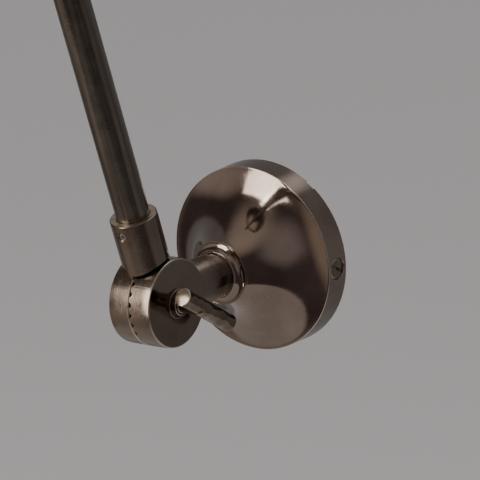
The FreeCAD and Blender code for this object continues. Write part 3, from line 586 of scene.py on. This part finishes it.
def add(tree, kind, settings=None, **links):
    """One node. settings are its properties, and "stops" are a ramp's places with a hex colour or a grey number.

    links are sockets by name, or by number as i0 or i6, each given a value or another node's output.
    """
    node = tree.nodes.new(kind)
    for key, value in (settings or {}).items():
        if key != "stops":
            setattr(node, key, value)
            continue
        for element, (at, tone) in zip(node.color_ramp.elements, value):
            element.position = at
            element.color = linear(tone) if isinstance(tone, str) else (tone, tone, tone, 1.0)
    for key, value in links.items():
        by_number = key[0] == "i" and key[1:].isdigit()
        socket = node.inputs[int(key[1:]) if by_number else key.replace("_", " ")]
        if isinstance(value, bpy.types.NodeSocket):
            tree.links.new(value, socket)
        else:
            socket.default_value = value
    return node


def start(name):
    """A new material, its tree and its shader."""
    material = bpy.data.materials.new(name)
    material.use_nodes = True
    tree = material.node_tree
    return material, tree, tree.nodes["Principled BSDF"]


STRETCH = 40


def scratches(tree, vector, turn, spacing, share):
    """Fine straight marks: noise stretched far along one way and cut to its peaks. spacing is in millimetres."""
    mapped = add(tree, "ShaderNodeMapping", Vector=vector, Rotation=(0, 0, turn),
                 Scale=(1 / (spacing * STRETCH), 1 / spacing, 1)).outputs[0]
    noise = add(tree, "ShaderNodeTexNoise", Vector=mapped, Scale=1.0, Detail=2.0, Roughness=0.6).outputs[0]
    stops = [(1 - share, 0.0), (1 - share + 0.05, 1.0)]
    return add(tree, "ShaderNodeValToRGB", {"stops": stops}, Fac=noise).outputs[0]


print("pure white is", linear("#FFFFFF"))

# %% [markdown]
# ## Aged brass
# Cast and turned brass, polished, then darkened in a bath and waxed: in the trade it is called antique brass. The
# bath leaves a grey-brown skin that still mirrors the room, a little uneven in colour. Where cloths and hands rub,
# along every edge, the skin is thin and paler metal shows. Polishing leaves fine marks round the turned shapes.
# Satin pieces were rubbed with a pad instead, so their reflections spread along the marks.

# %% Recipe for aged brass
TIMES, TIMES_CLAMPED = {"operation": "MULTIPLY"}, {"operation": "MULTIPLY", "use_clamp": True}
PLUS, PLUS_CLAMPED = {"operation": "MULTIPLY_ADD"}, {"operation": "MULTIPLY_ADD", "use_clamp": True}
COLOUR_MIX = {"data_type": "RGBA"}


def aged_brass(name, skin, dark, worn, low, high, marks, grain, wear_strength, dents=0.0, drawn=False):
    """Brass under a dark skin. skin and dark are its two tones, and worn is the bare metal's.

    low and high bound the roughness, marks scales the bump of the polishing, and grain its share in the roughness.
    dents lets the surface dip unevenly, and a drawn piece has its colour and marks run lengthwise.
    """
    material, tree, shader = start(name)
    coords = add(tree, "ShaderNodeTexCoord").outputs["Object"]
    in_mm = add(tree, "ShaderNodeMapping", Vector=coords, Scale=(1000, 1000, 1000)).outputs[0]
    uv = add(tree, "ShaderNodeUVMap", {"uv_map": "UVMap"}).outputs[0]
    wear = add(tree, "ShaderNodeAttribute", {"attribute_name": "wear"}).outputs["Fac"]
    # the skin: clouds about 26 mm across, patches of 7 mm, and specks of 0.7 mm
    if drawn:
        along = add(tree, "ShaderNodeMapping", Vector=uv, Scale=(0.5, 0.012, 1.0)).outputs[0]
        clouds = add(tree, "ShaderNodeTexNoise", Vector=along, Scale=1.0, Detail=4.0, Roughness=0.6).outputs[0]
    else:
        clouds = add(tree, "ShaderNodeTexNoise", Vector=coords, Scale=38.0, Detail=5.0, Roughness=0.55).outputs[0]
    patches = add(tree, "ShaderNodeTexNoise", Vector=coords, Scale=150.0, Detail=5.0, Roughness=0.6).outputs[0]
    specks = add(tree, "ShaderNodeTexNoise", Vector=coords, Scale=1500.0, Detail=2.0, Roughness=0.5).outputs[0]
    skin_colour = add(tree, "ShaderNodeValToRGB", {"stops": [(0.36, dark), (0.62, skin)]}, Fac=clouds).outputs[0]
    spots = add(tree, "ShaderNodeValToRGB", {"stops": [(0.66, 0.0), (0.74, 1.0)]}, Fac=specks).outputs[0]
    spots = add(tree, "ShaderNodeMath", TIMES, i0=spots, i1=0.45).outputs[0]
    spotted = add(tree, "ShaderNodeMix", COLOUR_MIX, i0=spots, i6=skin_colour, i7=linear(dark)).outputs[2]
    # polishing marks every 0.16 mm, coarser than real ones so that they show, and stray scratches every 0.5 mm
    fine = scratches(tree, uv, math.pi / 2 if drawn else 0.0, 0.16, 0.42)
    stray = scratches(tree, in_mm, 0.9, 0.5, 0.30)
    # the rubbed share: worn edges, broken up by the patches, and the stray scratches
    rub = add(tree, "ShaderNodeMath", TIMES, i0=patches, i1=1.6).outputs[0]
    rub = add(tree, "ShaderNodeMath", TIMES_CLAMPED, i0=wear, i1=rub).outputs[0]
    rub = add(tree, "ShaderNodeMath", TIMES_CLAMPED, i0=rub, i1=wear_strength).outputs[0]
    line = add(tree, "ShaderNodeMath", TIMES, i0=stray, i1=0.35).outputs[0]
    rub = add(tree, "ShaderNodeMath", {"operation": "MAXIMUM"}, i0=rub, i1=line).outputs[0]
    colour = add(tree, "ShaderNodeMix", COLOUR_MIX, i0=rub, i6=spotted, i7=linear(worn)).outputs[2]
    tree.links.new(colour, shader.inputs["Base Color"])
    shader.inputs["Metallic"].default_value = 1.0
    rough = add(tree, "ShaderNodeValToRGB", {"stops": [(0.35, low), (0.65, high)]}, Fac=patches).outputs[0]
    rough = add(tree, "ShaderNodeMath", PLUS, i0=rub, i1=0.25, i2=rough).outputs[0]
    rough = add(tree, "ShaderNodeMath", PLUS_CLAMPED, i0=fine, i1=grain, i2=rough).outputs[0]
    tree.links.new(rough, shader.inputs["Roughness"])
    # three bumps on one another: marks 0.02 mm deep, a ripple of 0.4 mm in the casting, and dips 8 mm across
    height = add(tree, "ShaderNodeMath", PLUS, i0=fine, i1=0.5, i2=stray).outputs[0]
    bump = add(tree, "ShaderNodeBump", Strength=marks, Distance=0.00002, Height=height).outputs[0]
    bump = add(tree, "ShaderNodeBump", Strength=0.25, Distance=0.0004, Height=clouds, Normal=bump).outputs[0]
    dips = add(tree, "ShaderNodeTexNoise", Vector=coords, Scale=120.0, Detail=1.0, Roughness=0.4).outputs[0]
    bump = add(tree, "ShaderNodeBump", Strength=dents, Distance=0.003, Height=dips, Normal=bump).outputs[0]
    tree.links.new(bump, shader.inputs["Normal"])
    return material


print("the recipe for brass is ready")

# %% Seven finishes of aged brass
# buffed to a mirror and then waxed: rose, collars, dish and bezel throw back a clear, dark picture of the room
polished = aged_brass("antique_brass_polished", "#988980", "#82746B", "#E6D8C8", low=0.06, high=0.12, marks=0.06,
                      grain=0.02, wear_strength=1.8)
# faced on a lathe and left flat: an even dark mirror with no marks across it
faced = aged_brass("antique_brass_faced", "#82766C", "#6F635A", "#CDBDA8", low=0.10, high=0.18, marks=0.0,
                   grain=0.0, wear_strength=0.8)
# rubbed round with a pad: reflections on the barrels blur into soft bands
satin = aged_brass("antique_brass_satin", "#8A7C70", "#73665C", "#DCCDBB", low=0.15, high=0.28, marks=0.20,
                   grain=0.07, wear_strength=0.9)
# drawn through a die: streaks of tone run along the tube and rod, and reflections are long and soft
tubing = aged_brass("antique_brass_tube", "#857E75", "#625A51", "#C4B6A2", low=0.24, high=0.34, marks=0.04,
                    grain=0.05, wear_strength=0.8, drawn=True)
# cast, then buffed by hand: the bars and rim screws are a little lumpy, so their highlights wander
handle = aged_brass("antique_brass_handle", "#7E7166", "#5F544B", "#E8DAC6", low=0.10, high=0.18, marks=0.15,
                    grain=0.05, wear_strength=1.3, dents=0.7)
# handled most: the skin is thin on the bars' ends and the pins, which look paler and softer
rubbed = aged_brass("antique_brass_rubbed", "#9E907F", "#7C6F63", "#EFE2CF", low=0.20, high=0.32, marks=0.20,
                    grain=0.08, wear_strength=1.2, dents=0.5)
# painted shade over real dirt: the walls of the notches are made nearly black and dull, for the shade deep in them and
# for the bath and old polish that gather there, as cut
notch_shade_and_dirt = aged_brass("antique_brass_grimy", "#2C2620", "#1C1814", "#8C7E70", low=0.45, high=0.60, marks=0.30,
                   grain=0.05, wear_strength=0.3)
brasses = [polished, faced, satin, tubing, handle, rubbed, notch_shade_and_dirt]
print("aged brass:", [material.name for material in brasses])

# %% [markdown]
# ## Steel, glass, felt and nylon
# The studs, nuts, springs and screws inside are bright drawn steel. The mirror is float glass silvered behind, so
# its front reflects like a metal and its tone is a little green. The pad is pressed wool felt, and the bush and
# piston are nylon, milky and slightly waxy.


# %% Steel and glass
def plain_steel():
    """Drawn and turned steel, unplated: grey, with a soft uneven gloss in clouds of 2.5 mm."""
    material, tree, shader = start("drawn_steel")
    coords = add(tree, "ShaderNodeTexCoord").outputs["Object"]
    cloud = add(tree, "ShaderNodeTexNoise", Vector=coords, Scale=400.0, Detail=4.0).outputs[0]
    tone = add(tree, "ShaderNodeValToRGB", {"stops": [(0.3, "#9A9894"), (0.7, "#C4C1BB")]}, Fac=cloud).outputs[0]
    rough = add(tree, "ShaderNodeValToRGB", {"stops": [(0.3, 0.24), (0.7, 0.4)]}, Fac=cloud).outputs[0]
    tree.links.new(tone, shader.inputs["Base Color"])
    tree.links.new(rough, shader.inputs["Roughness"])
    shader.inputs["Metallic"].default_value = 1.0
    return material


def silvered_glass():
    """Float glass with a silver coat behind: a clear mirror, with a faint film of dust in clouds of 11 mm."""
    material, tree, shader = start("mirror_silvered_glass")
    coords = add(tree, "ShaderNodeTexCoord").outputs["Object"]
    dust = add(tree, "ShaderNodeTexNoise", Vector=coords, Scale=90.0, Detail=6.0, Roughness=0.7).outputs[0]
    tone = add(tree, "ShaderNodeValToRGB", {"stops": [(0.4, "#E9EEEC"), (0.75, "#DDE4E1")]}, Fac=dust).outputs[0]
    rough = add(tree, "ShaderNodeValToRGB", {"stops": [(0.5, 0.01), (0.85, 0.05)]}, Fac=dust).outputs[0]
    tree.links.new(tone, shader.inputs["Base Color"])
    tree.links.new(rough, shader.inputs["Roughness"])
    shader.inputs["Metallic"].default_value = 1.0
    return material


steel, mirror = plain_steel(), silvered_glass()
print("made", steel.name, "and", mirror.name)


# %% Felt and nylon
def wool_felt():
    """Wool pressed wet into a sheet: dark, dull and hairy, with fibres in tufts of 0.6 mm."""
    material, tree, shader = start("wool_felt")
    coords = add(tree, "ShaderNodeTexCoord").outputs["Object"]
    fibre = add(tree, "ShaderNodeTexNoise", Vector=coords, Scale=1800.0, Detail=5.0).outputs[0]
    tone = add(tree, "ShaderNodeValToRGB", {"stops": [(0.3, "#26231F"), (0.7, "#4A453E")]}, Fac=fibre).outputs[0]
    tree.links.new(tone, shader.inputs["Base Color"])
    shader.inputs["Roughness"].default_value = 0.95
    bump = add(tree, "ShaderNodeBump", Strength=0.8, Distance=0.0003, Height=fibre).outputs[0]
    tree.links.new(bump, shader.inputs["Normal"])
    return material


def turned_nylon():
    """Nylon rod turned to size: milky, so light sinks in 2 mm, and waxy, with clouds of 7 mm."""
    material, tree, shader = start("turned_nylon")
    coords = add(tree, "ShaderNodeTexCoord").outputs["Object"]
    milk = add(tree, "ShaderNodeTexNoise", Vector=coords, Scale=150.0, Detail=3.0).outputs[0]
    tone = add(tree, "ShaderNodeValToRGB", {"stops": [(0.3, "#D9D3C4"), (0.7, "#EDE9DD")]}, Fac=milk).outputs[0]
    tree.links.new(tone, shader.inputs["Base Color"])
    shader.inputs["Roughness"].default_value = 0.42
    shader.inputs["Subsurface Weight"].default_value = 0.2
    shader.inputs["Subsurface Scale"].default_value = 0.002
    return material


felt, nylon = wool_felt(), turned_nylon()
print("made", felt.name, "and", nylon.name)

# %% Give every piece its finish
finishes = {POLISHED: polished, SATIN: satin, "steel": steel, "silvered_glass": mirror, "felt": felt, "nylon": nylon}
for node in nodes.values():
    for entry in node.material_slots:
        entry.material = finishes[entry.material.name.split(".")[0]]
for piece, _, _, slot in stands_for:
    piece.data.materials.clear()
    piece.data.materials.append(finishes[slot])
for material, pieces in ((handle, (wall_bar, mirror_bar, *heads)), (rubbed, (wall_pin, mirror_pin)),
                         (tubing, (tube, rod)), (faced, (wall_screw, mirror_screw))):
    for piece in pieces:
        piece.data.materials[0] = material
print("materials on", len(nodes) + len(stands_for), "objects")

# %% [markdown]
# ## Second finishes
# One piece can carry several finishes, because each face says which of its mesh's materials it wears. The flat
# faces of the knuckles were faced on a lathe, the notch walls carry painted shade over real dirt, and the bars' ends
# are rubbed.


# %% Second finishes
def faces_of(piece, where):
    """The middle and the normal of every face, in a place's own axes, in millimetres."""
    found = []
    for key in ("center", "normal"):
        values = np.zeros(len(piece.data.polygons) * 3)
        piece.data.polygons.foreach_get(key, values)
        found.append(values.reshape(-1, 3))
    return (found[0] - where[:3, 3]) @ where[:3, :3] / MM, found[1] @ where[:3, :3]


def second_finish(piece, material, chosen):
    """Give the chosen faces one more material."""
    piece.data.materials.append(material)
    index = np.zeros(len(chosen), dtype=np.int32)
    piece.data.polygons.foreach_get("material_index", index)
    index[chosen] = len(piece.data.materials) - 1
    piece.data.polygons.foreach_set("material_index", index)


FLAT, LEANS, BAR_END = 0.98, 0.35, 0.85
for piece, where in ((wall_neck, wall_neck_place), (wall_socket, arm_place), (mirror_neck, head_place),
                     (mirror_socket, rod_end_place)):
    middle, normal = faces_of(piece, where)
    second_finish(piece, faced, np.abs(normal[:, 0]) > FLAT)
    # a notch's walls lean round the disc, and nothing else near its toothed face does
    out = np.linalg.norm(middle[:, 1:], axis=1)
    leans = np.abs(middle[:, 1] * normal[:, 2] - middle[:, 2] * normal[:, 1]) / np.maximum(out, 1.0)
    toothed = (np.abs(middle[:, 0]) < TOOTH_DEEP + GAP) & (out > RING_INSIDE - 0.4) & (out < KNUCKLE + 0.1)
    # painted shade: the notch walls take a near black finish for the shade deep in the notches, over their real dirt
    second_finish(piece, notch_shade_and_dirt, toothed & (leans > LEANS))
    print(piece.name, "has", int((toothed & (leans > LEANS)).sum()), "faces of painted_shade_and_dirt")
for piece, point, turn in ((wall_bar, wall_point, WALL_BAR_TURN), (mirror_bar, mirror_point, MIRROR_BAR_TURN)):
    middle, normal = faces_of(piece, place(point, bar_way(turn), LEFT_RIGHT))
    second_finish(piece, rubbed, np.abs(normal[:, 2]) > BAR_END)

# %% [markdown]
# ## Camera, floor and light
# The camera stands to the right, a little above, with a long lens, which keeps the rose nearly round. Polished
# metal shows the room more than itself, so the room is lit like a small studio. A soft window of two panes, one
# tall and one short, leans over the object from the left. Round it the room is dim, with a few paler and darker
# things in it that the metal can mirror. The floor is plain and pale.

# %% Camera
LENS, SENSOR, DISTANCE = 188.2, 36.0, 0.9986
AZIMUTH, ELEVATION, ROLL = math.radians(37.735), math.radians(15.541), math.radians(-4.197)
TARGET = np.array([-0.01342, 0.0, 0.00319])
camera_data = bpy.data.cameras.new("camera")
camera = bpy.data.objects.new("camera", camera_data)
bpy.context.scene.collection.objects.link(camera)
camera_data.lens, camera_data.sensor_width = LENS, SENSOR
camera_data.clip_start, camera_data.clip_end = 0.05, 50.0
back = np.array([math.sin(AZIMUTH) * math.cos(ELEVATION), -math.cos(AZIMUTH) * math.cos(ELEVATION),
                 math.sin(ELEVATION)])
level = unit(np.cross((0, 0, 1), back))
upright = np.cross(back, level)
matrix = np.eye(4)
matrix[:3, 0] = math.cos(ROLL) * level + math.sin(ROLL) * upright
matrix[:3, 1] = -math.sin(ROLL) * level + math.cos(ROLL) * upright
matrix[:3, 2], matrix[:3, 3] = back, TARGET + back * DISTANCE
camera.matrix_world = Matrix(matrix.tolist())
bpy.context.scene.camera = camera
print("camera at", [round(float(v), 3) for v in matrix[:3, 3]])

# %% Floor
FLOOR, WIDE = -0.75, 30.0
floor_mesh = bpy.data.meshes.new("floor")
floor_mesh.from_pydata([(-WIDE, -WIDE, FLOOR), (WIDE, -WIDE, FLOOR), (WIDE, WIDE, FLOOR), (-WIDE, WIDE, FLOOR)],
                       [], [(0, 1, 2, 3)])
floor = bpy.data.objects.new("floor", floor_mesh)
bpy.context.scene.collection.objects.link(floor)
floor_material, floor_tree, floor_shader = start("pale_floor")
floor_shader.inputs["Base Color"].default_value = linear("#EEF0F3")
floor_shader.inputs["Roughness"].default_value = 0.8
floor_mesh.materials.append(floor_material)
# the metal mirrors the low tones of the room below instead of this floor
floor.visible_glossy = False
print("floor at", FLOOR)

# %% Lights
RADIANCE, WARM_WHITE = 6.6, "#FFFAF4"


def soft_light(name, centre, across, up, width, height):
    """An area light from its middle and two edges' ways. Its power is radiance x pi x width x height.

    The radiance is what a mirror shows of it, whatever its size and distance.
    """
    data = bpy.data.lights.new(name, "AREA")
    data.shape, data.size, data.size_y = "RECTANGLE", width, height
    data.energy, data.color = RADIANCE * math.pi * width * height, linear(WARM_WHITE)[:3]
    light = bpy.data.objects.new(name, data)
    bpy.context.scene.collection.objects.link(light)
    light.matrix_world = Matrix(place(centre, np.cross(across, up), across).tolist())
    return light


# the window leans over the object, so its near edge is high in front and its far edge low and far away
slope = unit((0.230, 0.709, 0.667))
fall = np.array([-0.608, -2.327, -2.195])
flat = unit(np.cross(np.cross(slope, LEFT_RIGHT), slope))
panes = []
# each pane: the middle of its near edge, its width, and its share of the fall to the far edge
for name, near_edge, width, share in (("window_tall", (-0.568, -0.933, 0.815), 0.566, 1.0),
                                      ("window_short", (-0.170, -0.933, 0.815), 0.21, 0.17)):
    middle = np.array(near_edge) + fall * share / 2
    panes.append(soft_light(name, middle, flat, slope, width, float(np.linalg.norm(fall)) * share))
print("lights:", [pane.name for pane in panes])

# %% World
world = bpy.data.worlds.new("room")
bpy.context.scene.world = world
world.use_nodes = True
room = world.node_tree
room.nodes.clear()
way = add(room, "ShaderNodeTexCoord").outputs["Generated"]
_, depth, height = add(room, "ShaderNodeSeparateXYZ", Vector=way).outputs
SOFT = {"interpolation_type": "SMOOTHSTEP"}


def spot(azimuth, elevation, inner, outer):
    """How near a direction is to a bearing: 1 within inner degrees of it, 0 beyond outer degrees."""
    a, e = math.radians(azimuth), math.radians(elevation)
    towards = (math.sin(a) * math.cos(e), -math.cos(a) * math.cos(e), math.sin(e))
    near = add(room, "ShaderNodeVectorMath", {"operation": "DOT_PRODUCT"}, i0=way, i1=towards).outputs["Value"]
    return add(room, "ShaderNodeMapRange", SOFT, Value=near, From_Min=math.cos(math.radians(outer)),
               From_Max=math.cos(math.radians(inner))).outputs[0]


wall_side = add(room, "ShaderNodeMapRange", SOFT, Value=depth, From_Min=-0.02, From_Max=0.10).outputs[0]
underneath = add(room, "ShaderNodeMapRange", SOFT, Value=height, From_Min=-0.655, From_Max=-0.70).outputs[0]
seen_straight = add(room, "ShaderNodeLightPath").outputs["Is Camera Ray"]
tone = linear("#544C4C")
for share, colour in (
        (spot(-52, 14, 2, 22), linear("#C6BDB6")),          # pale wall beside the window
        (spot(-50, -28, 4, 34), linear("#A89E96")),         # its light on the floor, at the left
        (spot(36, 14, 0, 34), linear("#9A9292")),           # a dimmer wall behind the viewer
        (spot(25, 72, 0, 50), linear("#B8AEA4")),           # ceiling
        (spot(22, -24, 2, 24), linear("#585052")),          # a dark corner low on the right
        (spot(-5, -7, 8, 20), linear("#A69A8E")),           # something pale straight in front
        (wall_side, linear("#838180")),                     # the wall's side, behind the object
        (spot(180, 60, 4, 24), (1.8, 1.8, 1.83, 1.0)),      # a soft lamp high behind, for the views from there
        (underneath, linear("#BEBAB6")),                    # pale floor straight below
        (seen_straight, linear("#A9A8A7"))):                # what the camera itself sees beyond the floor
    tone = add(room, "ShaderNodeMix", COLOUR_MIX, i0=share, i6=tone, i7=colour).outputs[2]
glow = add(room, "ShaderNodeBackground", Color=tone, Strength=1.0).outputs[0]
add(room, "ShaderNodeOutputWorld", Surface=glow)
print("world is set")
